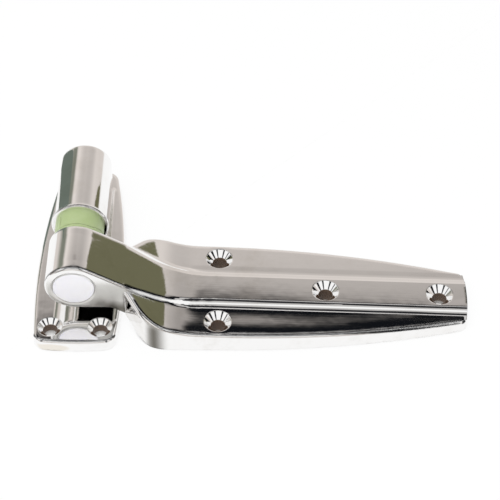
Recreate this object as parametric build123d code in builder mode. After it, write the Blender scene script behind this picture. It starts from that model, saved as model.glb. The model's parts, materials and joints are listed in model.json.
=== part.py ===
"""Cam-rise flush hinge: a fixed flange, a swinging strap, a loose pin and two nylon cams.

Frame: X runs along the strap from the pin axis, Y along the pin axis, Z out from the
mounting plane. The installed top of the hinge is towards -Y, so the strap rises along -Y.
"""
import os
from math import cos, radians, sin, sqrt, tan

from build123d import *

# Sizes in millimetres, angles in degrees

# Pin and its axis
axis_height = 26.0        # pin axis above the mounting plane
pin_radius = 6.35
pin_clearance = 0.05      # running fit round the pin
pin_chamfer = 0.8

# Knuckle of the strap
knuckle_radius = 14.0
knuckle_length = 29.2
edge_round = 1.7          # rounding of the cast outer edges

# Barrel of the flange
barrel_radius = 12.8
barrel_length = 45.2
barrel_end_wall = 5.0
barrel_end_round = 1.4
collar_overhang = 1.3     # collar beyond the barrel
collar_length = 2.0
collar_round = 0.6

# Flange plate
plate_thickness = 6.6
plate_half_width = 21.5   # at its widest, under the cams
plate_near_half_width = 19.4
plate_far_half_width = 14.2
plate_widest_y = 10.0
plate_near_y = -31.7
plate_far_y = 86.8
plate_end_bow = 1.2
plate_near_corner = 6.0
plate_far_corner = 7.0
plate_edge_round = 1.6
plate_root_round = 1.4

# Screw holes
screw_radius = 3.4
screw_angle = 90.0
flange_sink_radius = 6.0
strap_sink_radius = 6.7
flange_hole_x = 12.1
flange_hole_y = -21.8
flange_far_hole_y = 78.0
shoulder_hole_x = 69.0
shoulder_hole_y = 20.6
spine_hole_first_x = 121.3
spine_hole_last_x = 177.2

# Coring under the barrel
barrel_core_width = 13.0
barrel_core_length = 34.0
barrel_core_depth = 10.0

# Strap, seen from the side
arm_slope = 32.0
arm_thickness = 16.8
spine_height = 12.8       # at the foot of the arm
spine_fall = 1.9          # spine and wings thinning to the tip
bend_radius = 46.0        # arm running out into the spine
under_round = 5.0         # knee under the arm
strap_reach = 190.5       # pin axis to tip

# Strap, seen from above
leaf_half_width = 30.0
leaf_flare_x = 24.0       # where the leaf leaves the arm
leaf_shoulder_x = 35.0
leaf_taper_x = 70.0
leaf_tip_half_width = 16.1
leaf_tip_bow = 1.2
leaf_shoulder_round = 18.0
leaf_tip_corner = 4.0
wing_drop = 1.2           # wing below the spine at the centreline
wing_fall = 1.2           # wings falling away to their edges
wing_root = 5.0           # wings start inside the spine
wing_edge_round = 1.9

# Raised spine
spine_half_width = 8.7
spine_narrow_slope = 0.172
spine_narrow_ease = 20.0
step_slope = 25.5         # step from spine to wing
step_lip_slope = 4.0      # start of the step's rounded lip
step_lip_round = 6.0
step_lip_length = 3.0
step_foot_slope = 6.0     # end of the step's hollow foot
step_foot_round = 6.0
step_foot_length = 3.0
step_stations = 20        # sections of the narrowing step

# Coring of the strap's back
back_wall = 3.6           # metal left beside and over the cells
back_rib_width = 3.2
back_core_start_x = 44.0
back_start_cells = 2      # cells up to the shoulder holes
back_leaf_cells = 3       # cells between screw holes
back_boss_wall = 3.6

# Nylon cams
cam_gap = 12.7            # knuckle to barrel
cam_radius = 12.0
cam_crest = 10.0          # top of the lower cam above the barrel
cam_rise = 8.0            # height of each ramp
cam_ramp_angle = 100.0
cam_crest_angle = 95.0    # middle of the crest, from X towards Z
cam_face_gap = 0.3        # axial, between the two cam faces
cam_side_gap = 1.5        # degrees, between the two upright faces
cam_starts = 2
ramp_margin = 10.0        # extra sweep at both ends of a ramp
spigot_radius = 9.0
spigot_length = 10.0
key_width = 4.0
key_height = 1.6
nylon_fit = 0.05          # between nylon pieces and their seats

# Knuckle bushing and end cap
bushing_radius = 8.6
bushing_end_space = 0.5   # bushing to cap skirt
cap_radius = 10.0
cap_thickness = 2.6
cap_skirt_length = 3.0
cap_skirt_wall = 1.8
cap_edge_round = 0.5
pin_end_space = 1.2       # pin to cap skirt

# Positions along the pin axis
knuckle_near_y = -knuckle_length / 2
knuckle_far_y = knuckle_length / 2
barrel_near_y = knuckle_far_y + cam_gap
barrel_far_y = barrel_near_y + barrel_length
collar_radius = barrel_radius + collar_overhang
pin_foot_y = barrel_far_y - barrel_end_wall
skirt_end_y = knuckle_near_y + cap_thickness + cap_skirt_length
pin_top_y = skirt_end_y + pin_end_space
bushing_near_y = skirt_end_y + bushing_end_space
bushing_far_y = knuckle_far_y - spigot_length - nylon_fit

# Strap profile
slope = tan(radians(arm_slope))
arm_drop = arm_thickness / cos(radians(arm_slope))
tangent_x = knuckle_radius * sin(radians(arm_slope))
tangent_z = axis_height + knuckle_radius * cos(radians(arm_slope))
bend_x = tangent_x + (tangent_z - spine_height) / slope
bend_run = bend_radius * tan(radians((arm_slope - spine_fall) / 2))
bend_end_x = bend_x + bend_run * cos(radians(spine_fall))
fall = tan(radians(spine_fall))
under_z = axis_height - knuckle_radius
under_foot_x = tangent_x + (tangent_z - arm_drop) / slope
under_knee_x = under_foot_x - under_z / slope

# Lip and foot of the step, placed so that each crosses the top that it joins at half its own length
step_lip_sink = step_lip_length / 2 * tan(radians(step_lip_slope))
wing_tilt = tan(radians(wing_fall))
step_foot_rise = step_foot_length / 2 * (tan(radians(step_foot_slope)) - wing_tilt)
step_drop = wing_drop - step_lip_sink - step_foot_rise

# Spine narrowing from the arm's flat top to its parallel part
spine_corner_x = leaf_flare_x + (knuckle_length / 2 - edge_round - spine_half_width) / spine_narrow_slope
spine_parallel_x = spine_corner_x + spine_narrow_ease

# Ribs across the strap's back, from the coring's start to the last screw hole
start_cell = (shoulder_hole_x - back_core_start_x) / back_start_cells
middle_cell = (spine_hole_first_x - shoulder_hole_x) / back_leaf_cells
tip_cell = (spine_hole_last_x - spine_hole_first_x) / back_leaf_cells
rib_stations = [back_core_start_x + i * start_cell for i in range(1, back_start_cells + 1)]
rib_stations += [shoulder_hole_x + i * middle_cell for i in range(1, back_leaf_cells + 1)]
rib_stations += [spine_hole_first_x + i * tip_cell for i in range(1, back_leaf_cells + 1)]

# Cams
ramp_lead = cam_rise * 360 / cam_ramp_angle
ramp_start_angle = cam_crest_angle - (cam_ramp_angle + 360 / cam_starts) / 2
ramp_path_radius = (cam_radius + pin_radius) / 2
ramp_band = 2 * (cam_radius - pin_radius)
ramp_sweep = cam_ramp_angle + 2 * ramp_margin
ramp_margin_rise = ramp_lead * ramp_margin / 360
cam_reach = 2 * cam_radius


def across(y):
    """Plane square to the pin axis at y, facing the installed top."""
    return Plane.XZ.offset(-y)


def spine_line(x):
    """Height of the spine's straight top, thinning to the tip."""
    return spine_height - fall * (x - bend_x)


def spine_top(x):
    """Height of the spine's top over the leaf, with the bend from the arm."""
    if x >= bend_end_x:
        return spine_line(x)
    if x <= bend_x - bend_run * cos(radians(arm_slope)):
        return spine_height + slope * (bend_x - x)
    centre_x = bend_end_x + bend_radius * sin(radians(spine_fall))
    centre_z = spine_line(bend_end_x) + bend_radius * cos(radians(spine_fall))
    return centre_z - sqrt(bend_radius**2 - (centre_x - x) ** 2)


def spine_edge(x):
    """Half-width of the spine's top: straight narrowing, eased into the parallel part."""
    short = spine_corner_x - x
    if short >= spine_narrow_ease:
        return spine_half_width + spine_narrow_slope * short
    if short <= -spine_narrow_ease:
        return spine_half_width
    eased = (short + spine_narrow_ease) ** 2 / (4 * spine_narrow_ease)
    return spine_half_width + spine_narrow_slope * eased


def step_section(x):
    """Sketch of the space beside the spine at x: a rounded lip, the step, and a hollow foot."""
    edge_y = spine_edge(x)
    edge_z = spine_top(x) - step_lip_sink
    lip_y = edge_y - step_lip_length
    lip_z = edge_z + step_lip_length * tan(radians(step_lip_slope))
    foot_y = edge_y + (step_drop + edge_y * wing_tilt) / (tan(radians(step_slope)) - wing_tilt)
    foot_z = edge_z - (foot_y - edge_y) * tan(radians(step_slope))
    outer_y = edge_y + knuckle_length
    outer_z = foot_z - (outer_y - foot_y) * tan(radians(step_foot_slope))
    with BuildSketch(Plane.YZ.offset(x)) as section:
        with BuildLine():
            Polyline(
                (edge_y, edge_z),
                (lip_y, lip_z),
                (outer_y, lip_z),
                (outer_y, outer_z),
                (foot_y, foot_z),
                close=True,
            )
        make_face()
        fillet(section.vertices().sort_by_distance((edge_y, edge_z))[0], step_lip_round)
        fillet(section.vertices().sort_by_distance((foot_y, foot_z))[0], step_foot_round)
    return section.sketch


# Flange: plate, barrel, collar, bores and screw holes in one casting
with BuildPart() as flange:
    with BuildSketch(Plane.XY):
        with BuildLine():
            near_left = (-plate_near_half_width, plate_near_y + plate_end_bow)
            near_right = (plate_near_half_width, plate_near_y + plate_end_bow)
            far_left = (-plate_far_half_width, plate_far_y - plate_end_bow)
            far_right = (plate_far_half_width, plate_far_y - plate_end_bow)
            ThreePointArc(near_left, (0, plate_near_y), near_right)
            ThreePointArc(near_right, (plate_half_width, plate_widest_y), far_right)
            ThreePointArc(far_right, (0, plate_far_y), far_left)
            ThreePointArc(far_left, (-plate_half_width, plate_widest_y), near_left)
        outline = make_face()
        fillet(outline.vertices().group_by(Axis.Y)[0], plate_near_corner)
    extrude(amount=plate_thickness)
    plate_corners = flange.edges().filter_by(Axis.Z).group_by(Axis.Y)[-1]
    fillet(plate_corners, plate_far_corner)
    fillet(flange.faces().sort_by(Axis.Z)[-1].edges(), plate_edge_round)

    with BuildSketch(across(barrel_far_y)):
        with Locations((0, axis_height)):
            Circle(barrel_radius)
            Rectangle(2 * barrel_radius, axis_height, align=(Align.CENTER, Align.MAX))
    extrude(amount=barrel_length)
    barrel_end = flange.faces().filter_by(Axis.Y).sort_by(Axis.Y)[-1]
    fillet(barrel_end.edges().filter_by(GeomType.CIRCLE), barrel_end_round)
    roots = flange.edges().filter_by(Axis.Y).filter_by_position(
        Axis.Z, plate_thickness - edge_round / 2, plate_thickness + edge_round / 2
    )
    fillet(roots, plate_root_round)

    with BuildSketch(across(barrel_near_y + collar_length)):
        with Locations((0, axis_height)):
            Circle(collar_radius)
    extrude(amount=collar_length)
    rounds = flange.edges().filter_by(GeomType.CIRCLE)
    collar_rim = rounds.filter_by(lambda e: abs(e.radius - collar_radius) < collar_overhang / 2)
    fillet(collar_rim, collar_round)

    with BuildSketch(across(barrel_near_y)):
        with Locations((0, axis_height)):
            Circle(spigot_radius + nylon_fit)
            Rectangle(2 * (spigot_radius + key_height + nylon_fit), key_width + 2 * nylon_fit)
    extrude(amount=-(spigot_length + nylon_fit), mode=Mode.SUBTRACT)
    with BuildSketch(across(barrel_near_y)):
        with Locations((0, axis_height)):
            Circle(pin_radius + pin_clearance)
    extrude(amount=-(barrel_length - barrel_end_wall), mode=Mode.SUBTRACT)

    with BuildSketch(Plane.XY):
        with Locations((0, (barrel_near_y + barrel_far_y) / 2)):
            SlotOverall(barrel_core_length, barrel_core_width, rotation=90)
    extrude(amount=barrel_core_depth, mode=Mode.SUBTRACT)

    flange_holes = [(-flange_hole_x, flange_hole_y), (flange_hole_x, flange_hole_y), (0, flange_far_hole_y)]
    with Locations(Plane.XY.offset(plate_thickness)):
        with Locations(*flange_holes):
            CounterSinkHole(screw_radius, flange_sink_radius, plate_thickness, screw_angle)

# Leaf outline from the arm to the tip, shared by the wings and the coring
with BuildSketch(Plane.XY) as leaf_plan:
    with BuildLine():
        arm_edge = knuckle_length / 2
        tip_x = strap_reach - leaf_tip_bow
        Polyline(
            (leaf_flare_x, arm_edge),
            (leaf_shoulder_x, leaf_half_width),
            (leaf_taper_x, leaf_half_width),
        )
        TangentArc((leaf_taper_x, leaf_half_width), (tip_x, leaf_tip_half_width), tangent=(1, 0))
        mirror(about=Plane.XZ)
        ThreePointArc((tip_x, leaf_tip_half_width), (strap_reach, 0), (tip_x, -leaf_tip_half_width))
        Line((leaf_flare_x, -arm_edge), (leaf_flare_x, arm_edge))
    leaf_face = make_face()
    fillet(leaf_face.vertices().group_by(Axis.X)[1], leaf_shoulder_round)
    fillet(leaf_plan.vertices().group_by(Axis.X)[-1], leaf_tip_corner)

# Space beside the spine: its inner face is the step down to the wing
with BuildPart() as step_cutter:
    station_gap = (spine_parallel_x - leaf_flare_x) / step_stations
    stations = [leaf_flare_x + i * station_gap for i in range(step_stations + 1)]
    loft([step_section(x) for x in stations])
    last_section = step_section(spine_parallel_x)
    extrude(last_section, amount=strap_reach, dir=(cos(radians(spine_fall)), 0, -sin(radians(spine_fall))))

# Strap core: knuckle, arm and spine in one run of the side profile
with BuildPart() as strap_core:
    with BuildSketch(Plane.XZ):
        with BuildLine():
            knuckle_top = (tangent_x, tangent_z)
            knuckle_foot = (0, under_z)
            ThreePointArc(knuckle_foot, (-knuckle_radius, axis_height), knuckle_top)
            Polyline(
                knuckle_top,
                (bend_x, spine_height),
                (strap_reach, spine_line(strap_reach)),
                (strap_reach, 0),
                (under_foot_x, 0),
                (under_knee_x, under_z),
                knuckle_foot,
            )
        profile = make_face()
        fillet(profile.vertices().sort_by_distance((bend_x, spine_height))[0], bend_radius)
        fillet(profile.vertices().sort_by_distance((under_knee_x, under_z))[0], under_round)
    extrude(amount=knuckle_length / 2, both=True)
    side_edges = strap_core.faces().filter_by(Axis.Y).edges()
    off_back = side_edges.filter_by(lambda e: e.center().Z > edge_round)
    off_tip = off_back.filter_by(lambda e: e.center().X < strap_reach - edge_round)
    fillet(off_tip, edge_round)
    add(step_cutter.part, mode=Mode.SUBTRACT)
    mirror(step_cutter.part, about=Plane.XZ, mode=Mode.SUBTRACT)
    with BuildSketch(Plane.XY):
        with BuildLine():
            behind_x = -2 * knuckle_radius
            Polyline(
                (tip_x, leaf_tip_half_width),
                (behind_x, leaf_tip_half_width),
                (behind_x, -leaf_tip_half_width),
                (tip_x, -leaf_tip_half_width),
            )
            ThreePointArc((tip_x, leaf_tip_half_width), (strap_reach, 0), (tip_x, -leaf_tip_half_width))
        make_face()
    extrude(amount=2 * axis_height, mode=Mode.INTERSECT)

# One wing of the leaf, falling away from the spine
with BuildPart() as wing:
    wing_low = wing_drop + wing_root * tan(radians(wing_fall))
    with BuildSketch(across(-wing_root)):
        with BuildLine():
            Polyline(
                (tangent_x, tangent_z - wing_low),
                (bend_x, spine_height - wing_low),
                (2 * strap_reach, spine_line(2 * strap_reach) - wing_low),
                (2 * strap_reach, -axis_height),
                (tangent_x, -axis_height),
                close=True,
            )
        wing_profile = make_face()
        fillet(wing_profile.vertices().sort_by_distance((bend_x, spine_height - wing_low))[0], bend_radius)
    wing_dir = (0, -cos(radians(wing_fall)), -sin(radians(wing_fall)))
    extrude(amount=2 * leaf_half_width, dir=wing_dir)
    extrude(leaf_plan.sketch, amount=2 * axis_height, mode=Mode.INTERSECT)
    with BuildSketch(Plane.XZ):
        Polygon((under_foot_x, 0), (under_knee_x, under_z), (under_knee_x, 0), align=None)
    extrude(amount=2 * leaf_half_width, both=True, mode=Mode.SUBTRACT)
    rim = wing.edges().filter_by(Axis.Z, reverse=True)
    wing_edge = rim.sort_by_distance((leaf_taper_x, -leaf_half_width, spine_height))[0]
    fillet(wing_edge, wing_edge_round)

# Cells cored out of the leaf's back, between ribs and round the screw bosses
spine_holes = [(spine_hole_first_x, 0), (spine_hole_last_x, 0)]
shoulder_holes = [(shoulder_hole_x, shoulder_hole_y), (shoulder_hole_x, -shoulder_hole_y)]
with BuildPart() as back_cells:
    with BuildSketch(Plane.XY):
        add(leaf_plan.sketch)
        offset(amount=-back_wall)
        with Locations((back_core_start_x, 0)):
            Rectangle(
                spine_hole_last_x - back_core_start_x,
                4 * leaf_half_width,
                align=(Align.MIN, Align.CENTER),
                mode=Mode.INTERSECT,
            )
        for x in rib_stations:
            with Locations((x, 0)):
                Rectangle(back_rib_width, 4 * leaf_half_width, mode=Mode.SUBTRACT)
        with Locations(*spine_holes, *shoulder_holes):
            Circle(screw_radius + back_boss_wall, mode=Mode.SUBTRACT)
    extrude(amount=spine_height)
    wing_outer = wing_drop + leaf_half_width * tan(radians(wing_fall))
    ceiling_z = spine_height - wing_outer - back_wall
    split(bisect_by=Plane((bend_x, 0, ceiling_z), z_dir=(fall, 0, 1)), keep=Keep.BOTTOM)

# Strap: core, two wings, bores, screw holes and cored back
with BuildPart() as strap:
    add(strap_core.part)
    add(wing.part)
    mirror(wing.part, about=Plane.XZ)

    with BuildSketch(across(knuckle_near_y)):
        with Locations((0, axis_height)):
            Circle(cap_radius + nylon_fit)
    extrude(amount=-cap_thickness, mode=Mode.SUBTRACT)
    with BuildSketch(across(knuckle_near_y)):
        with Locations((0, axis_height)):
            Circle(bushing_radius + nylon_fit)
    extrude(amount=-knuckle_length, mode=Mode.SUBTRACT)
    with BuildSketch(across(knuckle_far_y)):
        with Locations((0, axis_height)):
            Circle(spigot_radius + nylon_fit)
            Rectangle(2 * (spigot_radius + key_height + nylon_fit), key_width + 2 * nylon_fit)
    extrude(amount=spigot_length + nylon_fit, mode=Mode.SUBTRACT)

    add(back_cells.part, mode=Mode.SUBTRACT)
    for x, y in spine_holes:
        with Locations((x, y, spine_line(x))):
            CounterSinkHole(screw_radius, strap_sink_radius, spine_height, screw_angle)
    shoulder_z = spine_line(shoulder_hole_x) - wing_drop - shoulder_hole_y * tan(radians(wing_fall))
    with Locations(Plane.XY.offset(shoulder_z)):
        with Locations(*shoulder_holes):
            CounterSinkHole(screw_radius, strap_sink_radius, spine_height, screw_angle)

# Hinge pin, loose in the barrel
with BuildPart() as hinge_pin:
    with BuildSketch(across(pin_foot_y)):
        with Locations((0, axis_height)):
            Circle(pin_radius)
    extrude(amount=pin_foot_y - pin_top_y)
    chamfer(hinge_pin.edges().filter_by(GeomType.CIRCLE), pin_chamfer)

# Space over one cam ramp, about its own Z axis and from the foot of the swept helix
with BuildPart() as ramp_space:
    with BuildLine() as ramp_path:
        Helix(ramp_lead, ramp_lead * ramp_sweep / 360, ramp_path_radius)
    with BuildSketch(Plane(ramp_path.line @ 0, x_dir=(1, 0, 0), z_dir=ramp_path.line % 0)):
        Rectangle(ramp_band, 1.5 * cam_rise, align=(Align.CENTER, Align.MAX))
    sweep(path=ramp_path.line, is_frenet=True)
    with BuildSketch(Plane.XY.offset(-cam_gap)):
        with BuildLine():
            first = PolarLine((0, 0), cam_reach, ramp_margin)
            last = PolarLine((0, 0), cam_reach, ramp_margin + cam_ramp_angle)
            ThreePointArc(
                first @ 1,
                Vector(cam_reach, 0).rotate(Axis.Z, ramp_margin + cam_ramp_angle / 2),
                last @ 1,
            )
        make_face()
    extrude(amount=4 * cam_gap, mode=Mode.INTERSECT)

cam_plane = Plane((0, barrel_near_y, axis_height), x_dir=(1, 0, 0), z_dir=(0, -1, 0))
cam_valley = cam_crest - cam_rise

# Lower cam, keyed into the barrel
with BuildPart() as lower_cam:
    with BuildSketch(cam_plane):
        Circle(cam_radius)
    extrude(amount=cam_crest)
    for i in range(cam_starts):
        turn = ramp_start_angle - ramp_margin + i * 360 / cam_starts
        with Locations(cam_plane.location * Location((0, 0, cam_valley - ramp_margin_rise), (0, 0, turn))):
            add(ramp_space.part, mode=Mode.SUBTRACT)
    with BuildSketch(cam_plane):
        Circle(spigot_radius)
        Rectangle(2 * (spigot_radius + key_height), key_width)
    extrude(amount=-spigot_length)
    with BuildSketch(cam_plane):
        Circle(pin_radius + pin_clearance)
    extrude(amount=2 * spigot_length, both=True, mode=Mode.SUBTRACT)

# Upper cam, keyed into the knuckle
with BuildPart() as upper_cam:
    tooth_foot = cam_valley - ramp_margin_rise + cam_face_gap + ramp_lead * cam_side_gap / 360
    for i in range(cam_starts):
        turn = ramp_start_angle - ramp_margin + cam_side_gap + i * 360 / cam_starts
        with Locations(cam_plane.location * Location((0, 0, tooth_foot), (0, 0, turn))):
            add(ramp_space.part)
    with BuildSketch(cam_plane.offset(cam_crest + cam_face_gap)):
        Circle(2 * cam_radius)
    extrude(amount=cam_gap)
    with BuildSketch(cam_plane):
        Circle(cam_radius)
    extrude(amount=cam_gap, mode=Mode.INTERSECT)
    with BuildSketch(cam_plane.offset(cam_gap)):
        Circle(spigot_radius)
        Rectangle(2 * (spigot_radius + key_height), key_width)
    extrude(amount=spigot_length)
    with BuildSketch(cam_plane):
        Circle(pin_radius + pin_clearance)
    extrude(amount=3 * cam_gap, mode=Mode.SUBTRACT)

# Knuckle bushing, between the cap's skirt and the upper cam
with BuildPart() as knuckle_bushing:
    with BuildSketch(across(bushing_far_y)):
        with Locations((0, axis_height)):
            Circle(bushing_radius)
            Circle(pin_radius + pin_clearance, mode=Mode.SUBTRACT)
    extrude(amount=bushing_far_y - bushing_near_y)

# End cap, flush with the knuckle
with BuildPart() as end_cap:
    with BuildSketch(across(knuckle_near_y)):
        with Locations((0, axis_height)):
            Circle(cap_radius)
    extrude(amount=-cap_thickness)
    fillet(end_cap.edges().group_by(Axis.Y)[0], cap_edge_round)
    with BuildSketch(across(knuckle_near_y + cap_thickness)):
        with Locations((0, axis_height)):
            Circle(bushing_radius)
            Circle(bushing_radius - cap_skirt_wall, mode=Mode.SUBTRACT)
    extrude(amount=-cap_skirt_length)

# Export
flange.part.label = "flange"
strap.part.label = "strap"
hinge_pin.part.label = "hinge_pin"
lower_cam.part.label = "lower_cam"
upper_cam.part.label = "upper_cam"
knuckle_bushing.part.label = "knuckle_bushing"
end_cap.part.label = "end_cap"

os.makedirs("parts", exist_ok=True)
export_step(flange.part, "parts/flange.step")
export_step(strap.part, "parts/strap.step")
export_step(hinge_pin.part, "parts/hinge_pin.step")
export_step(lower_cam.part, "parts/lower_cam.step")
export_step(upper_cam.part, "parts/upper_cam.step")
export_step(knuckle_bushing.part, "parts/knuckle_bushing.step")
export_step(end_cap.part, "parts/end_cap.step")
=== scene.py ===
"""Looks of the flush hinge: plated castings, nylon pieces, white table and the studio they mirror."""

import json
from math import cos, radians, sin

import bpy
from mathutils import Matrix, Vector


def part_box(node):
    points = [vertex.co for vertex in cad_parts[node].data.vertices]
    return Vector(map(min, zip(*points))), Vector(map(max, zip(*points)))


MM = 0.001

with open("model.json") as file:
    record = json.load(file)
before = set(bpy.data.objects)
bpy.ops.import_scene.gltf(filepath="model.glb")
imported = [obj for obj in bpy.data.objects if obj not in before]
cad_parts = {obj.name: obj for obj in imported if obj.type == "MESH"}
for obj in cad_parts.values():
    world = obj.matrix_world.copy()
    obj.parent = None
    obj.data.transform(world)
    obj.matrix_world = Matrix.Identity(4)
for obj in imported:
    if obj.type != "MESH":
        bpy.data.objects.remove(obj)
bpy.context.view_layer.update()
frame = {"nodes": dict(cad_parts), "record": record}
nodes = frame["nodes"]
record = frame["record"]

# Camera, fitted to the photograph
IMAGE_PX = 500
CAMERA_PLACE_MM = (87.285, -570.450, 642.565)
CAMERA_PITCH = 46.629      # degrees below level
CAMERA_YAW = -0.317
CAMERA_ROLL = 0.321
FOCAL_PX = 1739.89
SENSOR_MM = 36.0
NEAREST_SEEN = 10 * MM

# Colours, linear
PAPER_WHITE = (1.0, 1.0, 1.0, 1.0)
LAMP_WHITE = (0.82, 0.80, 0.79, 1.0)
LAMP_HOOD = (0.55, 0.54, 0.53, 1.0)
OLIVE_CARD = (0.150, 0.145, 0.085, 1.0)
GREEN_CARD = (0.148, 0.178, 0.152, 1.0)
GREEN_WALL = (0.215, 0.225, 0.185, 1.0)
INK_GAP = (0.006, 0.007, 0.009, 1.0)
DUSK_GREY = (0.035, 0.035, 0.038, 1.0)
TABLE_WHITE = (0.93, 0.93, 0.93, 1.0)
TABLE_SHADE = (0.10, 0.085, 0.07, 1.0)
PLATING = (0.93, 0.925, 0.92, 1.0)
PLATING_SMUDGED = (0.84, 0.825, 0.80, 1.0)
# painted dark reflection along the castings' edges
EDGE_DARK_REFLECTION = (0.03, 0.031, 0.034, 1.0)
BARE_CASTING = (0.33, 0.325, 0.315, 1.0)
# painted shade inside the screw holes
HOLE_SHADE_BROWN = (0.200, 0.120, 0.075, 1.0)
HOLE_SHADE_GREY = (0.070, 0.055, 0.045, 1.0)
CAST_SIDE = (0.80, 0.79, 0.76, 1.0)
# painted shade and dark reflection on the arm's sides
CAST_SIDE_PAINTED_SHADE = (0.17, 0.16, 0.14, 1.0)
BEIGE_STAIN = (0.80, 0.73, 0.62, 1.0)
GREEN_NYLON = (0.365, 0.465, 0.205, 1.0)
GREEN_NYLON_PALE = (0.45, 0.53, 0.30, 1.0)
WHITE_NYLON = (0.93, 0.92, 0.95, 1.0)
WHITE_NYLON_DEEP = (0.87, 0.86, 0.90, 1.0)
PIN_STEEL = (0.56, 0.56, 0.57, 1.0)
PIN_STEEL_DARK = (0.40, 0.40, 0.41, 1.0)
WARM_TINT = (1.08, 1.0, 0.945)


def warm(level):
    """Warm grey of the room, at a level of brightness."""
    return (*(tint * level for tint in WARM_TINT), 1.0)


# Places of the colour sockets on a Mix node, whose names are not unique
MIX_FIRST = 6
MIX_SECOND = 7
MIX_RESULT = 2


def add_node(tree, kind, **values):
    """Adds a shader node. Capitalised names set input sockets, the others set properties."""
    made = tree.nodes.new(kind)
    for name, value in values.items():
        if name[0].isupper():
            made.inputs[name.replace("_", " ")].default_value = value
        else:
            setattr(made, name, value)
    return made


def join(tree, source, target):
    """Links an output socket to an input socket."""
    tree.links.new(source, target)


def feed(tree, operand, socket):
    """Gives an input socket a link from an output socket, or a constant."""
    if isinstance(operand, bpy.types.NodeSocket):
        join(tree, operand, socket)
    else:
        socket.default_value = operand


def math_node(tree, operation, *operands):
    """One arithmetic step; each operand is a socket or a number."""
    made = add_node(tree, "ShaderNodeMath", operation=operation)
    for socket, operand in zip(made.inputs, operands):
        feed(tree, operand, socket)
    return made.outputs[0]


def vector_node(tree, operation, *operands):
    """One vector step; each operand is a socket or a tuple. Returns the node."""
    made = add_node(tree, "ShaderNodeVectorMath", operation=operation)
    for socket, operand in zip(made.inputs, operands):
        feed(tree, operand, socket)
    return made


def product(tree, first, *others):
    """Several sockets or numbers multiplied together."""
    for other in others:
        first = math_node(tree, "MULTIPLY", first, other)
    return first


def split_vector(tree, vector):
    """The X, Y and Z sockets of a vector."""
    made = add_node(tree, "ShaderNodeSeparateXYZ")
    join(tree, vector, made.inputs[0])
    return made.outputs


def turned_normal(tree, normal, source, target):
    """A normal carried from one space to another."""
    made = add_node(tree, "ShaderNodeVectorTransform", vector_type="NORMAL")
    made.convert_from = source
    made.convert_to = target
    feed(tree, normal, made.inputs[0])
    return made.outputs[0]


def fade(tree, value, start, end, low=0.0, high=1.0):
    """Smooth change of a value from low at start to high at end."""
    made = add_node(tree, "ShaderNodeMapRange", interpolation_type="SMOOTHSTEP")
    join(tree, value, made.inputs["Value"])
    for name, number in zip(("From Min", "From Max", "To Min", "To Max"), (start, end, low, high)):
        made.inputs[name].default_value = number
    return made.outputs["Result"]


def mix_colour(tree, factor, first, second):
    """Colour mixed by a factor; each colour is a socket or a tuple."""
    made = add_node(tree, "ShaderNodeMix", data_type="RGBA")
    join(tree, factor, made.inputs["Factor"])
    feed(tree, first, made.inputs[MIX_FIRST])
    feed(tree, second, made.inputs[MIX_SECOND])
    return made.outputs[MIX_RESULT]


def mix_shaders(tree, factor, first, second):
    """Two shaders mixed by a factor."""
    made = add_node(tree, "ShaderNodeMixShader")
    for socket, source in zip(made.inputs, (factor, first, second)):
        join(tree, source, socket)
    return made.outputs[0]


def new_material(name):
    """A material with a Principled shader; returns the material, its tree and that shader."""
    material = bpy.data.materials.new(name)
    material.use_nodes = True
    return material, material.node_tree, material.node_tree.nodes["Principled BSDF"]


def new_group(name, inputs, outputs):
    """A shader node group with named sockets; returns the group and its two end nodes."""
    group = bpy.data.node_groups.new(name, "ShaderNodeTree")
    for socket_name, kind, default in inputs:
        socket = group.interface.new_socket(socket_name, in_out="INPUT", socket_type=kind)
        socket.default_value = default
    for socket_name, kind in outputs:
        group.interface.new_socket(socket_name, in_out="OUTPUT", socket_type=kind)
    return group, group.nodes.new("NodeGroupInput"), group.nodes.new("NodeGroupOutput")


def place_group(tree, group, **values):
    """A node group placed in a material, with its own input values."""
    return add_node(tree, "ShaderNodeGroup", node_tree=group, **values)


# Studio that the plating mirrors: colour by height in degrees, behind the hinge and before it
BEHIND_BANDS = [
    (-4.0, PAPER_WHITE),
    (3.0, warm(0.66)),
    (12.0, warm(0.64)),
    (30.0, warm(0.68)),
    (37.5, warm(0.73)),
    (40.0, warm(0.66)),
    (43.5, warm(0.55)),
    (46.0, warm(0.47)),
    (47.6, warm(0.43)),
    (48.3, warm(0.28)),
    (48.9, warm(0.11)),
    (49.7, INK_GAP),
    (57.0, INK_GAP),
    (59.0, LAMP_WHITE),
    (64.5, LAMP_WHITE),
    (66.5, DUSK_GREY),
]
FRONT_BANDS = [
    (-4.0, PAPER_WHITE),
    (3.0, warm(0.58)),
    (12.0, warm(0.42)),
    (22.0, warm(0.46)),
    (28.0, warm(0.85)),
    (31.0, PAPER_WHITE),
    (48.0, PAPER_WHITE),
    (53.0, DUSK_GREY),
]
FRONT_EDGE = (0.05, -0.05)          # +Y share of the direction where behind gives way to before
HALF_TURN = 180.0                   # degrees from straight down to straight up

# Edges of things in the studio, each as a start and an end of its fade, in degrees
GREEN_WALL_TURN = (-28.0, -34.0)    # from +Y, to the right
GREEN_WALL_FOOT = (9.0, 24.0)
GREEN_WALL_TOP = (36.0, 29.0)
SIDE_SHEET_TURN = (58.0, 66.0)      # from +Y, to both sides
SIDE_SHEET_FOOT = (23.0, 29.0)
SIDE_SHEET_TOP = (47.0, 42.0)
DIM_TURN = (4.0, 30.0)
DIM_HEIGHT = (25.0, 39.0)
DIM_SHARE = 0.34                    # of the room's light taken away, at most
STRIP_FRONT = (-16.5, -13.5)        # from straight up, towards +Y
STRIP_BACK = (10.0, 6.0)
STRIP_END = (0.3, 0.4)              # upward share of the direction
HOOD_FRONT = (-4.0, -0.5)
HOOD_END = (0.28, 0.18)             # sideways share of the direction

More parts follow.
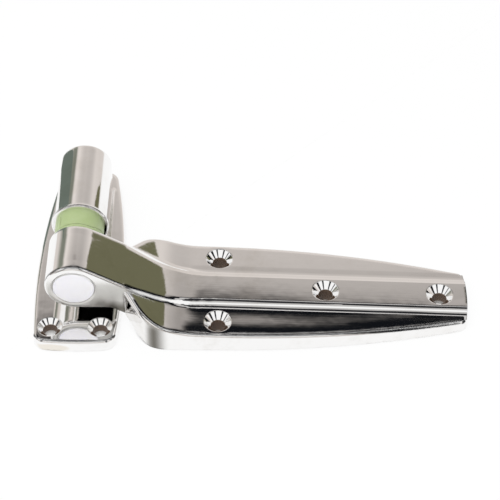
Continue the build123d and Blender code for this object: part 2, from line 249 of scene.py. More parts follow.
# Dark stands before the hinge: turn from -Y, to the right, and half width, in degrees
STANDS = ((-82.0, 11.0), (-38.0, 9.0), (26.0, 9.0), (70.0, 11.0))
FILL_LIGHT = 0.68                   # world light on matt surfaces


def band_ramp(tree, up, bands):
    """Colour bands along the height angle, given as (degrees, colour)."""
    height = math_node(tree, "MULTIPLY", math_node(tree, "ARCSINE", up), 1 / radians(HALF_TURN))
    ramp = add_node(tree, "ShaderNodeValToRGB")
    stops = ramp.color_ramp.elements
    while len(stops) < len(bands):
        stops.new(1.0)
    for stop, (degrees, colour) in zip(stops, bands):
        stop.position = degrees / HALF_TURN + 0.5
        stop.color = colour
    join(tree, math_node(tree, "ADD", height, 0.5), ramp.inputs["Fac"])
    return ramp.outputs["Color"]


def fade_turn(tree, angle, span, high=1.0):
    """Fade over a span of an angle, given in degrees."""
    start, end = span
    return fade(tree, angle, radians(start), radians(end), 0.0, high)


def fade_height(tree, up, span):
    """Fade over a span of height above level, given in degrees."""
    start, end = span
    return fade(tree, up, sin(radians(start)), sin(radians(end)))


def studio_behind(tree, side, back, up):
    """Room behind: bands, a dark green wall at the left, white sheets beside, dimmer at the right."""
    turn = math_node(tree, "ARCTAN2", side, back)
    colour = band_ramp(tree, up, BEHIND_BANDS)
    wall = product(
        tree,
        fade_turn(tree, turn, GREEN_WALL_TURN),
        fade_height(tree, up, GREEN_WALL_FOOT),
        fade_height(tree, up, GREEN_WALL_TOP),
    )
    colour = mix_colour(tree, wall, colour, GREEN_WALL)
    sheet = product(
        tree,
        fade_turn(tree, math_node(tree, "ABSOLUTE", turn), SIDE_SHEET_TURN),
        fade_height(tree, up, SIDE_SHEET_TOP),
        fade_height(tree, up, SIDE_SHEET_FOOT),
    )
    colour = mix_colour(tree, sheet, colour, PAPER_WHITE)
    dim = product(tree, fade_turn(tree, turn, DIM_TURN, DIM_SHARE), fade_height(tree, up, DIM_HEIGHT))
    return mix_colour(tree, dim, colour, INK_GAP)


def studio_front(tree, side, back, up):
    """Room before the hinge: bands and dark lamp stands."""
    turn = math_node(tree, "ARCTAN2", side, math_node(tree, "MULTIPLY", back, -1.0))
    colour = band_ramp(tree, up, FRONT_BANDS)
    for stand, half_width in STANDS:
        apart = math_node(tree, "ABSOLUTE", math_node(tree, "SUBTRACT", turn, radians(stand)))
        colour = mix_colour(tree, fade_turn(tree, apart, (half_width, half_width / 2)), colour, INK_GAP)
    return colour


def strip_lamp(tree, side, back, up):
    """Mask and colour of the long white lamp above, parallel to the strap, with its grey hood."""
    lean = math_node(tree, "ARCTAN2", back, up)
    strip = product(
        tree,
        fade_turn(tree, lean, STRIP_BACK),
        fade_turn(tree, lean, STRIP_FRONT),
        fade(tree, up, *STRIP_END),
    )
    hood = product(
        tree,
        fade_turn(tree, lean, HOOD_FRONT),
        fade(tree, math_node(tree, "ABSOLUTE", side), *HOOD_END),
    )
    return strip, mix_colour(tree, hood, PAPER_WHITE, LAMP_HOOD)


def build_world():
    """White to the camera, soft white on matt surfaces, and the studio in the plating."""
    world = bpy.data.worlds.new("studio")
    bpy.context.scene.world = world
    world.use_nodes = True
    tree = world.node_tree
    tree.nodes.clear()
    side, back, up = split_vector(tree, add_node(tree, "ShaderNodeTexCoord").outputs["Generated"])
    behind = studio_behind(tree, side, back, up)
    front = studio_front(tree, side, back, up)
    mirrored = mix_colour(tree, fade(tree, back, *FRONT_EDGE), behind, front)
    strip, strip_colour = strip_lamp(tree, side, back, up)
    mirrored = mix_colour(tree, strip, mirrored, strip_colour)

    rays = add_node(tree, "ShaderNodeLightPath")
    matt = add_node(tree, "ShaderNodeBackground", Color=PAPER_WHITE, Strength=FILL_LIGHT)
    studio = add_node(tree, "ShaderNodeBackground", Strength=1.0)
    join(tree, mirrored, studio.inputs["Color"])
    white = add_node(tree, "ShaderNodeBackground", Color=PAPER_WHITE, Strength=1.0)
    lit = mix_shaders(tree, rays.outputs["Is Glossy Ray"], matt.outputs[0], studio.outputs[0])
    seen = mix_shaders(tree, rays.outputs["Is Camera Ray"], lit, white.outputs[0])
    join(tree, seen, add_node(tree, "ShaderNodeOutputWorld").inputs["Surface"])


# Table
TABLE_SIZE = 40.0          # metres
TABLE_GAP = 0.02 * MM      # under the castings' backs
TABLE_ROUGHNESS = 0.9
TABLE_GLOW = 0.93          # share of plain white that the lens and the plating see
SHADE_REACH = 7.0 * MM
SHADE_SPAN = (0.22, 0.5)   # open share of the space above, from full shade to none
SHADE_SAMPLES = 12


def build_table():
    """White table, plain to the camera, with the hinge's contact shade on it."""
    corner = TABLE_SIZE / 2
    mesh = bpy.data.meshes.new("table")
    mesh.from_pydata(
        [(-corner, -corner, 0), (corner, -corner, 0), (corner, corner, 0), (-corner, corner, 0)],
        [],
        [(0, 1, 2, 3)],
    )
    table = bpy.data.objects.new("table", mesh)
    table.location.z = -TABLE_GAP
    bpy.context.scene.collection.objects.link(table)
    material, tree, matt = new_material("table_white")
    matt.inputs["Base Color"].default_value = TABLE_WHITE
    matt.inputs["Roughness"].default_value = TABLE_ROUGHNESS
    matt.inputs["Specular IOR Level"].default_value = 0.0
    rays = add_node(tree, "ShaderNodeLightPath")
    space = add_node(tree, "ShaderNodeAmbientOcclusion", Distance=SHADE_REACH, samples=SHADE_SAMPLES)
    open_share = fade(tree, space.outputs["AO"], *SHADE_SPAN)
    open_share = math_node(tree, "MAXIMUM", open_share, rays.outputs["Is Glossy Ray"])
    glow = add_node(tree, "ShaderNodeEmission", Strength=1.0)
    join(tree, mix_colour(tree, open_share, TABLE_SHADE, PAPER_WHITE), glow.inputs["Color"])
    shown = math_node(tree, "MAXIMUM", rays.outputs["Is Camera Ray"], rays.outputs["Is Glossy Ray"])
    shown = math_node(tree, "MAXIMUM", shown, rays.outputs["Is Transmission Ray"])
    shown = math_node(tree, "MULTIPLY", shown, TABLE_GLOW)
    surface = mix_shaders(tree, shown, matt.outputs[0], glow.outputs[0])
    join(tree, surface, tree.nodes["Material Output"].inputs["Surface"])
    mesh.materials.append(material)


# Cards that show in the plating only, millimetres
OLIVE_CARD_X = 500.0
OLIVE_CARD_NEAR = 240.0
OLIVE_CARD_FAR = (548.0, 600.0)       # at its foot and at its top
OLIVE_CARD_Z = (70.0, 540.0)
DARK_CARD_Y = (110.0, 240.0)
DARK_CARD_Z = (20.0, 600.0)
GREEN_CARD_Y = 100.0
GREEN_CARD_X = (-88.0, -32.5)
GREEN_CARD_FOOT = 0.5
GREEN_CARD_TOP = (96.0, 52.0)         # at its left and at its right


def build_card(name, corners, colour):
    """A plain upright card beside the hinge, out of the camera's sight and casting no shade."""
    mesh = bpy.data.meshes.new(name)
    mesh.from_pydata([Vector(corner) * MM for corner in corners], [], [(0, 1, 2, 3)])
    card = bpy.data.objects.new(name, mesh)
    bpy.context.scene.collection.objects.link(card)
    material = bpy.data.materials.new(name)
    material.use_nodes = True
    tree = material.node_tree
    tree.nodes.clear()
    glow = add_node(tree, "ShaderNodeEmission", Color=colour, Strength=1.0)
    join(tree, glow.outputs[0], add_node(tree, "ShaderNodeOutputMaterial").inputs["Surface"])
    mesh.materials.append(material)
    card.visible_camera = False
    card.visible_diffuse = False
    card.visible_shadow = False


def build_cards():
    """An olive card at the right, a dark one before it, and a dark green one behind at the left."""
    x, near = OLIVE_CARD_X, OLIVE_CARD_NEAR
    low, high = OLIVE_CARD_Z
    low_far, high_far = OLIVE_CARD_FAR
    corners = [(x, near, low), (x, low_far, low), (x, high_far, high), (x, near, high)]
    build_card("olive_card", corners, OLIVE_CARD)
    near, far = DARK_CARD_Y
    low, high = DARK_CARD_Z
    build_card("dark_card", [(x, near, low), (x, far, low), (x, far, high), (x, near, high)], INK_GAP)
    left, right = GREEN_CARD_X
    left_top, right_top = GREEN_CARD_TOP
    y, low = GREEN_CARD_Y, GREEN_CARD_FOOT
    corners = [(left, y, low), (right, y, low), (right, y, right_top), (left, y, left_top)]
    build_card("green_card", corners, GREEN_CARD)


# Soft lamp above, metres and watts
LAMP_SIZE = 0.9
LAMP_POWER = 9.0
LAMP_PLACE = (-0.25, -0.35, 1.1)
LAMP_AIM = (0.05, 0.02, 0.0)


def build_lamp():
    """One broad soft lamp above, for shape on the nylon pieces."""
    light = bpy.data.lights.new("soft_lamp", "AREA")
    light.shape = "SQUARE"
    light.size = LAMP_SIZE
    light.energy = LAMP_POWER
    lamp = bpy.data.objects.new("soft_lamp", light)
    lamp.location = LAMP_PLACE
    aim = Vector(LAMP_AIM) - lamp.location
    lamp.rotation_euler = aim.to_track_quat("-Z", "Y").to_euler()
    lamp.visible_glossy = False
    bpy.context.scene.collection.objects.link(lamp)


def build_camera():
    """Camera at the photograph's angle."""
    pitch, yaw, roll = radians(CAMERA_PITCH), radians(CAMERA_YAW), radians(CAMERA_ROLL)
    look = Vector((sin(yaw) * cos(pitch), cos(yaw) * cos(pitch), -sin(pitch)))
    right = look.cross(Vector((0, 0, 1))).normalized()
    above = right.cross(look)
    tilted_right = right * cos(roll) + above * sin(roll)
    tilted_above = above * cos(roll) - right * sin(roll)
    lens = bpy.data.cameras.new("camera")
    lens.sensor_width = SENSOR_MM
    lens.lens = SENSOR_MM * FOCAL_PX / IMAGE_PX
    lens.clip_start = NEAREST_SEEN
    camera = bpy.data.objects.new("camera", lens)
    turned = Matrix((tilted_right, tilted_above, -look)).transposed().to_4x4()
    camera.matrix_world = Matrix.Translation(Vector(CAMERA_PLACE_MM) * MM) @ turned
    bpy.context.scene.collection.objects.link(camera)
    bpy.context.scene.camera = camera


# Polishing marks: their noises, their depths in millimetres and what they do to the gloss
WAVE_NOISE = {"Scale": 55.0, "Detail": 1.0, "Roughness": 0.4}
RIPPLE_NOISE = {"Scale": 170.0, "Detail": 1.0, "Roughness": 0.5}
STREAK_NOISE = {"Scale": 1.0, "Detail": 3.0, "Roughness": 0.6}
SMUDGE_NOISE = {"Scale": 38.0, "Detail": 4.0, "Roughness": 0.65}
WAVE_DEPTH = 0.048
RIPPLE_DEPTH = 0.012
STREAK_DEPTH = 0.0032
ALONG_STRAP = (12.0, 900.0, 900.0)    # streaks a metre, along X, Y and Z
ALONG_BARREL = (900.0, 12.0, 900.0)
SMUDGE_SPAN = (0.48, 0.78)            # of its noise, from clean to smudged
STREAK_SPAN = (0.25, 0.75)            # of its noise, from the brightest streak to the dullest
STREAK_GLOSS = (0.015, 0.06)          # roughness over that span
SMUDGE_DULLING = 0.04


def build_polish_group():
    """Hand polishing: slow waves, fine streaks along the polishing way and dull smudges."""
    group, given, result = new_group(
        "polish",
        [
            ("Streak Scale", "NodeSocketVector", (1.0, 1.0, 1.0)),
            ("Wave Depth", "NodeSocketFloat", 0.0),
            ("Ripple Depth", "NodeSocketFloat", 0.0),
            ("Streak Depth", "NodeSocketFloat", 0.0),
        ],
        [("Height", "NodeSocketFloat"), ("Smudge", "NodeSocketFloat"), ("Roughness", "NodeSocketFloat")],
    )
    place = add_node(group, "ShaderNodeTexCoord").outputs["Object"]
    stretched = vector_node(group, "MULTIPLY", place, given.outputs["Streak Scale"]).outputs[0]
    marks = []
    kinds = ((WAVE_NOISE, place), (RIPPLE_NOISE, place), (STREAK_NOISE, stretched), (SMUDGE_NOISE, place))
    for values, vector in kinds:
        noise = add_node(group, "ShaderNodeTexNoise", **values)
        join(group, vector, noise.inputs["Vector"])
        marks.append(noise.outputs["Fac"])
    wave, ripple, streak, patch = marks
    height = math_node(group, "MULTIPLY", wave, given.outputs["Wave Depth"])
    for mark, depth in ((ripple, "Ripple Depth"), (streak, "Streak Depth")):
        height = math_node(group, "ADD", height, math_node(group, "MULTIPLY", mark, given.outputs[depth]))
    smudge = fade(group, patch, *SMUDGE_SPAN)
    rough = fade(group, streak, *STREAK_SPAN, *STREAK_GLOSS)
    rough = math_node(group, "ADD", rough, math_node(group, "MULTIPLY", smudge, SMUDGE_DULLING))
    join(group, height, result.inputs["Height"])
    join(group, smudge, result.inputs["Smudge"])
    join(group, rough, result.inputs["Roughness"])
    return group


# Unpolished backs of the castings
BACK_FACING = (-0.35, -0.6)           # Z of the normal
BACK_HEIGHT = (8.0 * MM, 6.4 * MM)    # above the mounting plane
BACK_ROUGHNESS = 0.42


def build_bare_back_group():
    """Mask of the unpolished metal on a casting's back."""
    group, _, result = new_group("bare_back", [], [("Mask", "NodeSocketFloat")])
    coords = add_node(group, "ShaderNodeTexCoord")
    place = split_vector(group, coords.outputs["Object"])
    facing = split_vector(group, coords.outputs["Normal"])
    mask = product(group, fade(group, facing["Z"], *BACK_FACING), fade(group, place["Z"], *BACK_HEIGHT))
    join(group, mask, result.inputs["Mask"])
    return group


# Insides of the screw holes, darkened with painted shade
SCREW_RADIUS = max(mount["dims"].get("hole_r_mm", 0) for mount in record["mounts"]) * MM
HOLE_EDGE = (SCREW_RADIUS + 0.25 * MM, SCREW_RADIUS + 0.1 * MM)
HOLE_GRIT = {"Scale": 1500.0, "Detail": 2.0}
HOLE_ROUGHNESS = 0.6


def build_screw_hole_group():
    """Gritty inside of a screw hole in painted dark brown shade, by the distance from its axis."""
    group, given, result = new_group(
        "screw_hole",
        [("Distance", "NodeSocketFloat", 1.0)],
        [("Mask", "NodeSocketFloat"), ("Colour", "NodeSocketColor")],
    )
    grit = add_node(group, "ShaderNodeTexNoise", **HOLE_GRIT)
    join(group, add_node(group, "ShaderNodeTexCoord").outputs["Object"], grit.inputs["Vector"])
    join(group, fade(group, given.outputs["Distance"], *HOLE_EDGE), result.inputs["Mask"])
    join(group, mix_colour(group, grit.outputs["Fac"], HOLE_SHADE_GREY, HOLE_SHADE_BROWN), result.inputs["Colour"])
    return group


# Painted dark reflection lines on the castings' edges, by parts of the normal where each line starts and
# ends
NEAR_LINE_START = (-0.10, -0.15)      # Y of the normal
NEAR_LINE_END = (-0.44, -0.37)
TIP_LINE_START = (0.30, 0.40)         # X of the normal
TIP_LINE_END = (0.92, 0.80)
LINE_FACING_UP = (0.2, 0.4)           # Z of the normal


def build_edge_dark_reflection_group():
    """Masks of the dark reflection lines painted along near edges and along edges towards the strap's
    tip.
    """
    group, given, result = new_group(
        "edge_dark_reflection",
        [("Normal", "NodeSocketVector", (0.0, 0.0, 1.0))],
        [("Near", "NodeSocketFloat"), ("Tip", "NodeSocketFloat")],
    )
    x, y, z = split_vector(group, turned_normal(group, given.outputs["Normal"], "WORLD", "OBJECT"))
    upper = fade(group, z, *LINE_FACING_UP)
    near = product(group, fade(group, y, *NEAR_LINE_START), fade(group, y, *NEAR_LINE_END), upper)
    tip = product(group, fade(group, x, *TIP_LINE_START), fade(group, x, *TIP_LINE_END), upper)
    join(group, near, result.inputs["Near"])
    join(group, tip, result.inputs["Tip"])
    return group


# Skin of the moulded nylon
MOTTLE_NOISE = {"Scale": 160.0, "Detail": 3.0, "Roughness": 0.6}
GRAIN_NOISE = {"Scale": 1400.0, "Detail": 2.0}
GRAIN_SPAN = (0.3, 0.7)               # of its noise
GRAIN_GLOSS = (0.34, 0.46)            # roughness over that span
GRAIN_STRENGTH = 0.25
GRAIN_DEPTH = 0.05 * MM
NYLON_LIGHT_REACH = 1.2 * MM          # how far light passes in
NYLON_LIGHT_COLOURS = (1.0, 1.0, 0.8)
GREEN_SEE_THROUGH = 0.5
WHITE_SEE_THROUGH = 0.3


def build_nylon_skin_group():
    """Faint mottling and fine grain of moulded nylon."""
    group, given, result = new_group(
        "nylon_skin",
        [("Colour", "NodeSocketColor", PAPER_WHITE), ("Mottle Colour", "NodeSocketColor", PAPER_WHITE)],
        [("Colour", "NodeSocketColor"), ("Roughness", "NodeSocketFloat"), ("Grain", "NodeSocketFloat")],
    )
    place = add_node(group, "ShaderNodeTexCoord").outputs["Object"]
    mottle = add_node(group, "ShaderNodeTexNoise", **MOTTLE_NOISE)
    grain = add_node(group, "ShaderNodeTexNoise", **GRAIN_NOISE)
    for noise in (mottle, grain):
        join(group, place, noise.inputs["Vector"])
    first, second = given.outputs["Colour"], given.outputs["Mottle Colour"]
    join(group, mix_colour(group, mottle.outputs["Fac"], first, second), result.inputs["Colour"])
    join(group, fade(group, grain.outputs["Fac"], *GRAIN_SPAN, *GRAIN_GLOSS), result.inputs["Roughness"])
    join(group, grain.outputs["Fac"], result.inputs["Grain"])
    return group


polish = build_polish_group()
bare_back = build_bare_back_group()
screw_hole = build_screw_hole_group()
edge_dark_reflection = build_edge_dark_reflection_group()
nylon_skin = build_nylon_skin_group()

# Hand-finished form of the strap's top, millimetres
SPINE_EDGE = 8.7
SPINE_CROWN = 0.032        # spine's middle above its edges
SWELL_CENTRE = 19.7        # steepest part of the near wing's swell, from the centreline
SWELL_REACH = 5.8          # to either side of it
SWELL_STRAIGHT_X = 95.0    # past here the swell bends towards the spine and narrows
SWELL_BEND = 0.0018        # per millimetre squared
SWELL_NARROWING = 0.035
SWELL_HIGH = 0.20          # outer half of the wing above its inner half, at the shoulder
SWELL_LOW = 0.045          # the same, at the tip
SWELL_BEND_X = (44.0, 58.0)
SWELL_AT_BEND = -0.5       # share of the swell at the bend, where the wing falls away instead
SWELL_RISE_X = (60.0, 80.0)
SWELL_PAST_BEND = 0.62
SWELL_FALL_X = (72.0, 155.0)


def strap_form(tree):
    """Height, in millimetres, of the spine's slight crown and the near wing's slight swell."""
    coords = add_node(tree, "ShaderNodeTexCoord").outputs["Object"]
    x, y, _ = split_vector(tree, vector_node(tree, "MULTIPLY", coords, (1 / MM,) * 3).outputs[0])
    off_centre = math_node(tree, "MINIMUM", math_node(tree, "ABSOLUTE", y), SPINE_EDGE)
    crown = math_node(tree, "POWER", math_node(tree, "DIVIDE", off_centre, SPINE_EDGE), 2.0)
    crown = math_node(tree, "MULTIPLY", crown, -SPINE_CROWN)
    past = math_node(tree, "MAXIMUM", math_node(tree, "SUBTRACT", x, SWELL_STRAIGHT_X), 0.0)
    bend = math_node(tree, "MULTIPLY", math_node(tree, "POWER", past, 2.0), SWELL_BEND)
    reach = math_node(tree, "SUBTRACT", SWELL_REACH, math_node(tree, "MULTIPLY", past, SWELL_NARROWING))
    out = math_node(tree, "SUBTRACT", bend, math_node(tree, "ADD", y, SWELL_CENTRE))
    swell = fade(tree, math_node(tree, "DIVIDE", out, reach), -1.0, 1.0)
    share = math_node(
        tree,
        "ADD",
        fade(tree, x, *SWELL_BEND_X, SWELL_AT_BEND, SWELL_PAST_BEND),
        fade(tree, x, *SWELL_RISE_X, 0.0, 1.0 - SWELL_PAST_BEND),
    )
    swell = product(tree, swell, fade(tree, x, *SWELL_FALL_X, SWELL_HIGH, SWELL_LOW), share)
    return math_node(tree, "ADD", crown, swell)


def screw_axes(names):
    """Places of the screw holes of some mounts, in metres."""
    places = []
    for mount in record["mounts"]:
        if mount["name"] not in names:
            continue
        centre = Vector(mount["pos_m"])
        spacing = [mount["dims"].get(name, 0) for name in ("spacing_x_mm", "spacing_y_mm")]
        half = Vector((*spacing, 0)) * MM / 2
        places += [centre - half, centre + half] if half.length else [centre]
    return places


def hole_distance(tree, place, holes):
    """Distance to the nearest screw axis, in metres."""
    flat = vector_node(tree, "MULTIPLY", place, (1, 1, 0)).outputs[0]
    first, *others = [
        vector_node(tree, "DISTANCE", flat, (hole.x, hole.y, 0)).outputs["Value"] for hole in holes
    ]
    for other in others:
        first = math_node(tree, "MINIMUM", first, other)
    return first


# Soft edges, and the zones of the strap's top where they differ
SOFT_EDGE = 2.1 * MM
FINE_EDGE = 0.6 * MM                  # in the screw holes
STEP_EDGE = 0.3 * MM                  # at the steps beside the spine
EDGE_SAMPLES = 8
SINK_END = (8.0 * MM, 9.0 * MM)       # from a screw's axis, past its countersink
STEP_INNER_Y = (5.0 * MM, 6.0 * MM)   # from the centreline
STEP_OUTER_Y = (16.0 * MM, 14.0 * MM)
STEP_START_X = (44.0 * MM, 50.0 * MM)
FAR_FOOT_Y = (9.6 * MM, 11.2 * MM)
FAR_FOOT_X = (52.0 * MM, 66.0 * MM)
FAR_FOOT_LIFT = 7.0                   # share of straight up in the normal there
SPINE_ZONE_START = 27.0 * MM          # no painted dark reflection line from here on, up to the feet of the steps
SPINE_ZONE_START_BLUR = 3.0 * MM
SPINE_ZONE_EDGE = 18.5 * MM
SPINE_ZONE_EDGE_BLUR = 0.5 * MM
SPINE_ZONE_NARROWING = 0.26
SPINE_ZONE_LEAST = 14.0 * MM
STRAP_TIP_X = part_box("strap")[1].x
TIP_LINE_X = (STRAP_TIP_X - 4.5 * MM, STRAP_TIP_X - 3.5 * MM)


def soft_edge(tree, radius):
    """Shading normal with the edges rounded by a radius."""
    made = add_node(tree, "ShaderNodeBevel", samples=EDGE_SAMPLES)
    join(tree, radius, made.inputs["Radius"])
    return made.outputs[0]


def painted_reflection_lines(tree, normal):
    """The two masks of painted dark reflection lines for a shading normal."""
    reflection_lines_node = place_group(tree, edge_dark_reflection)
    join(tree, normal, reflection_lines_node.inputs["Normal"])
    return reflection_lines_node.outputs


def step_zone(tree, place):
    """Mask of the steps at both sides of the strap's spine."""
    off_centre = math_node(tree, "ABSOLUTE", place["Y"])
    return product(
        tree,
        fade(tree, off_centre, *STEP_INNER_Y),
        fade(tree, off_centre, *STEP_OUTER_Y),
        fade(tree, place["X"], *STEP_START_X),
    )


def spine_zone(tree, place):
    """Mask of the arm's root and the spine up to the feet of the steps."""
    past = math_node(tree, "SUBTRACT", place["X"], SPINE_ZONE_START)
    narrowing = math_node(tree, "MULTIPLY", past, SPINE_ZONE_NARROWING)
    edge = math_node(tree, "SUBTRACT", SPINE_ZONE_EDGE, narrowing)
    edge = math_node(tree, "MAXIMUM", edge, SPINE_ZONE_LEAST)
    inside = math_node(tree, "SUBTRACT", edge, math_node(tree, "ABSOLUTE", place["Y"]))
    return product(
        tree,
        fade(tree, inside, -SPINE_ZONE_EDGE_BLUR, SPINE_ZONE_EDGE_BLUR),
        fade(tree, past, -SPINE_ZONE_START_BLUR, SPINE_ZONE_START_BLUR),
    )


def eased_far_step(tree, place, step, normal):
    """The shading normal, turned up on the foot of the far step, which is softer than the near one."""
    lift = product(
        tree,
        step,
        fade(tree, place["Y"], *FAR_FOOT_Y, 0.0, FAR_FOOT_LIFT),
        fade(tree, place["X"], *FAR_FOOT_X),
    )
    above = turned_normal(tree, (0, 0, 1), "OBJECT", "WORLD")
    raised = vector_node(tree, "MULTIPLY", above, lift).outputs[0]
    turned = vector_node(tree, "ADD", normal, raised).outputs[0]
    return vector_node(tree, "NORMALIZE", turned).outputs[0]


def flange_edges(tree, _, away):
    """Shading normal of the flange's soft edges, and the mask of its painted dark reflection lines."""
    normal = soft_edge(tree, fade(tree, away, *SINK_END, FINE_EDGE, SOFT_EDGE))
    return normal, painted_reflection_lines(tree, normal)["Near"]


def strap_edges(tree, place, away):
    """Shading normal of the strap's soft edges, crisp at the steps, and the mask of its painted dark
    reflection lines.
    """
    step = step_zone(tree, place)
    radius = math_node(
        tree,
        "MINIMUM",
        fade(tree, away, *SINK_END, FINE_EDGE, SOFT_EDGE),
        fade(tree, step, 0.0, 1.0, SOFT_EDGE, STEP_EDGE),
    )
    normal = soft_edge(tree, radius)
    near, tip = painted_reflection_lines(tree, normal)
    near = math_node(tree, "MULTIPLY", near, fade(tree, spine_zone(tree, place), 1.0, 0.0))
    tip = math_node(tree, "MULTIPLY", tip, fade(tree, place["X"], *TIP_LINE_X))
    return eased_far_step(tree, place, step, normal), math_node(tree, "MAXIMUM", near, tip)


# Sides of the arm, less polished than the top, with painted shade and painted dark reflection low down
# and towards the leaf
ARM_SIDE_FACING = (0.80, 0.95)        # Y of the normal
ARM_SIDE_END_X = (46.0 * MM, 38.0 * MM)
ARM_SIDE_TOP_Z = (34.0 * MM, 28.0 * MM)
ARM_SHADE_X = (3.0 * MM, 19.0 * MM)
ARM_SHADE_Z = (21.0 * MM, 12.0 * MM)
ARM_SHADE_ALL_X = (9.0 * MM, 34.0 * MM)
ARM_SHADE_ALL = 0.55                  # share of the painted shade over the side's whole height
ARM_SIDE_ROUGHNESS = 0.30


def arm_side(tree, place, facing):
    """Mask, colour and roughness of the arm's upright sides, less polished, with painted shade and
    painted dark reflection low down and towards the leaf.
    """
    x, _, z = place
    mask = product(
        tree,
        fade(tree, math_node(tree, "ABSOLUTE", facing["Y"]), *ARM_SIDE_FACING),
        fade(tree, x, *ARM_SIDE_END_X),
        fade(tree, z, *ARM_SIDE_TOP_Z),
    )
    # painted shade and dark reflection, deepest low down and towards the leaf
    shade = product(tree, fade(tree, x, *ARM_SHADE_X), fade(tree, z, *ARM_SHADE_Z))
    shade = math_node(tree, "MAXIMUM", shade, fade(tree, x, *ARM_SHADE_ALL_X, 0.0, ARM_SHADE_ALL))
    return mask, mix_colour(tree, shade, CAST_SIDE, CAST_SIDE_PAINTED_SHADE), ARM_SIDE_ROUGHNESS


# Stain on the flange's near lip, seen along Y
STAIN_CENTRE = (-10.5 * MM, 2.2 * MM)
STAIN_REACH = (8.5 * MM, 2.6 * MM)
STAIN_FACING = (-0.6, -0.9)           # Y of the normal
STAIN_SPECKS = {"Scale": 420.0, "Detail": 3.0}
STAIN_EDGE = (1.7, 1.0)               # specks added to the squared distance, from clean to stained
STAIN_SHARE = 0.6
STAIN_ROUGHNESS = 0.2


def lip_stain(tree, place, facing):
    """Mask, colour and roughness of a faint beige stain on the flange's near lip."""
    x, _, z = place
    reach = add_node(tree, "ShaderNodeTexNoise", **STAIN_SPECKS).outputs["Fac"]
    for value, centre, half in zip((x, z), STAIN_CENTRE, STAIN_REACH):
        share = math_node(tree, "DIVIDE", math_node(tree, "SUBTRACT", value, centre), half)
        squared = math_node(tree, "POWER", math_node(tree, "ABSOLUTE", share), 2.0)
        reach = math_node(tree, "ADD", reach, squared)
    mask = product(
        tree,
        fade(tree, facing["Y"], *STAIN_FACING),
        fade(tree, reach, *STAIN_EDGE, 0.0, STAIN_SHARE),
    )
    return mask, BEIGE_STAIN, STAIN_ROUGHNESS


def plated_casting(name, streak_scale, screws, edges, patch, form=None):
    """Chrome over a polished casting, dull on the back, with painted dark reflection lines along its
    edges and painted brown shade in the screw holes.
    """
    material, tree, shader = new_material(name)
    coords = add_node(tree, "ShaderNodeTexCoord")
    place = split_vector(tree, coords.outputs["Object"])
    facing = split_vector(tree, coords.outputs["Normal"])
    worked = place_group(
        tree,
        polish,
        Streak_Scale=streak_scale,
        Wave_Depth=WAVE_DEPTH,
        Ripple_Depth=RIPPLE_DEPTH,
        Streak_Depth=STREAK_DEPTH,
    )
    back = place_group(tree, bare_back).outputs["Mask"]
    away = hole_distance(tree, coords.outputs["Object"], screw_axes(screws))
    inside = place_group(tree, screw_hole)
    join(tree, away, inside.inputs["Distance"])
    hole, hole_shade_colour = inside.outputs
    normal, dark_reflection_mask = edges(tree, place, away)
    dark_reflection_mask = math_node(tree, "MULTIPLY", dark_reflection_mask, fade(tree, away, *SINK_END))
    patched, patch_colour, patch_roughness = patch(tree, place, facing)

    colour = mix_colour(tree, worked.outputs["Smudge"], PLATING, PLATING_SMUDGED)
    colour = mix_colour(tree, back, colour, BARE_CASTING)
    # painted dark reflection lines along the edges
    colour = mix_colour(tree, dark_reflection_mask, colour, EDGE_DARK_REFLECTION)
    colour = mix_colour(tree, patched, colour, patch_colour)
    # painted shade inside the screw holes
    colour = mix_colour(tree, hole, colour, hole_shade_colour)
    join(tree, colour, shader.inputs["Base Color"])
    join(tree, math_node(tree, "SUBTRACT", 1.0, hole), shader.inputs["Metallic"])
    rough = worked.outputs["Roughness"]
    for mask, dulling in ((back, BACK_ROUGHNESS), (patched, patch_roughness), (hole, HOLE_ROUGHNESS)):
        rough = math_node(tree, "MAXIMUM", rough, math_node(tree, "MULTIPLY", mask, dulling))
    join(tree, rough, shader.inputs["Roughness"])

    height = worked.outputs["Height"]
    if form:
        height = math_node(tree, "ADD", height, form(tree))
    bump = add_node(tree, "ShaderNodeBump", Strength=1.0, Distance=MM)
    join(tree, height, bump.inputs["Height"])
    join(tree, normal, bump.inputs["Normal"])
    join(tree, bump.outputs[0], shader.inputs["Normal"])
    return material


def moulded_nylon(name, colour, mottle_colour, see_through):
    """Moulded nylon: faint mottling, a waxy skin and light passing a little way in."""
    material, tree, shader = new_material(name)
    skin = place_group(tree, nylon_skin, Colour=colour, Mottle_Colour=mottle_colour)
    join(tree, skin.outputs["Colour"], shader.inputs["Base Color"])
    join(tree, skin.outputs["Roughness"], shader.inputs["Roughness"])
    bump = add_node(tree, "ShaderNodeBump", Strength=GRAIN_STRENGTH, Distance=GRAIN_DEPTH)
    join(tree, skin.outputs["Grain"], bump.inputs["Height"])
    join(tree, bump.outputs[0], shader.inputs["Normal"])
    shader.inputs["Subsurface Weight"].default_value = see_through
    shader.inputs["Subsurface Radius"].default_value = NYLON_LIGHT_COLOURS
    shader.inputs["Subsurface Scale"].default_value = NYLON_LIGHT_REACH
    return material


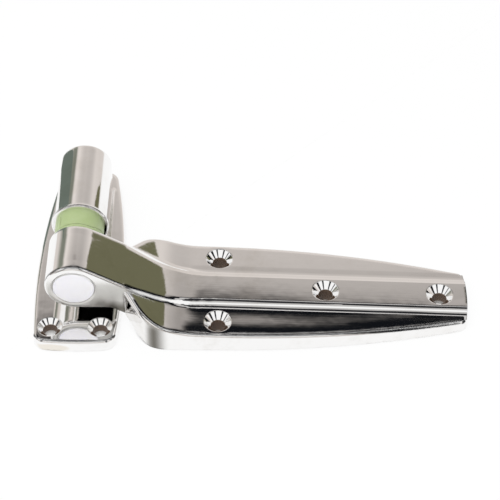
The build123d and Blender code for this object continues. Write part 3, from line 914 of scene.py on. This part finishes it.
# Grinding marks round the pin
RING_SCALE = (20.0, 2600.0, 20.0)     # marks a metre, along X, Y and Z
RING_NOISE = {"Scale": 1.0, "Detail": 2.0}
RING_SPAN = (0.3, 0.7)                # of its noise
RING_GLOSS = (0.22, 0.38)             # roughness over that span


def turned_steel(name):
    """Ground steel pin with fine rings round it."""
    material, tree, shader = new_material(name)
    shader.inputs["Metallic"].default_value = 1.0
    place = add_node(tree, "ShaderNodeTexCoord").outputs["Object"]
    marks = add_node(tree, "ShaderNodeTexNoise", **RING_NOISE)
    join(tree, vector_node(tree, "MULTIPLY", place, RING_SCALE).outputs[0], marks.inputs["Vector"])
    rings = marks.outputs["Fac"]
    join(tree, mix_colour(tree, rings, PIN_STEEL_DARK, PIN_STEEL), shader.inputs["Base Color"])
    join(tree, fade(tree, rings, *RING_SPAN, *RING_GLOSS), shader.inputs["Roughness"])
    return material


def dress(node_name, material):
    """Gives a CAD node its material."""
    piece = nodes[node_name]
    piece.data.materials.clear()
    piece.data.materials.append(material)


STRAP_SCREWS = ["strap_shoulder_screws", "strap_spine_screws"]
FLANGE_SCREWS = ["flange_upper_screws", "flange_lower_screw"]
strap_plating = plated_casting(
    "strap_plating", ALONG_STRAP, STRAP_SCREWS, strap_edges, arm_side, strap_form
)
flange_plating = plated_casting(
    "flange_plating", ALONG_BARREL, FLANGE_SCREWS, flange_edges, lip_stain
)
green_nylon = moulded_nylon("green_nylon", GREEN_NYLON, GREEN_NYLON_PALE, GREEN_SEE_THROUGH)
white_nylon = moulded_nylon("white_nylon", WHITE_NYLON, WHITE_NYLON_DEEP, WHITE_SEE_THROUGH)
pin_steel = turned_steel("pin_steel")

dress("strap", strap_plating)
dress("flange", flange_plating)
dress("lower_cam", green_nylon)
dress("upper_cam", green_nylon)
dress("knuckle_bushing", white_nylon)
dress("end_cap", white_nylon)
dress("hinge_pin", pin_steel)

build_world()
build_table()
build_cards()
build_lamp()
build_camera()
bpy.context.scene.view_settings.view_transform = "Standard"
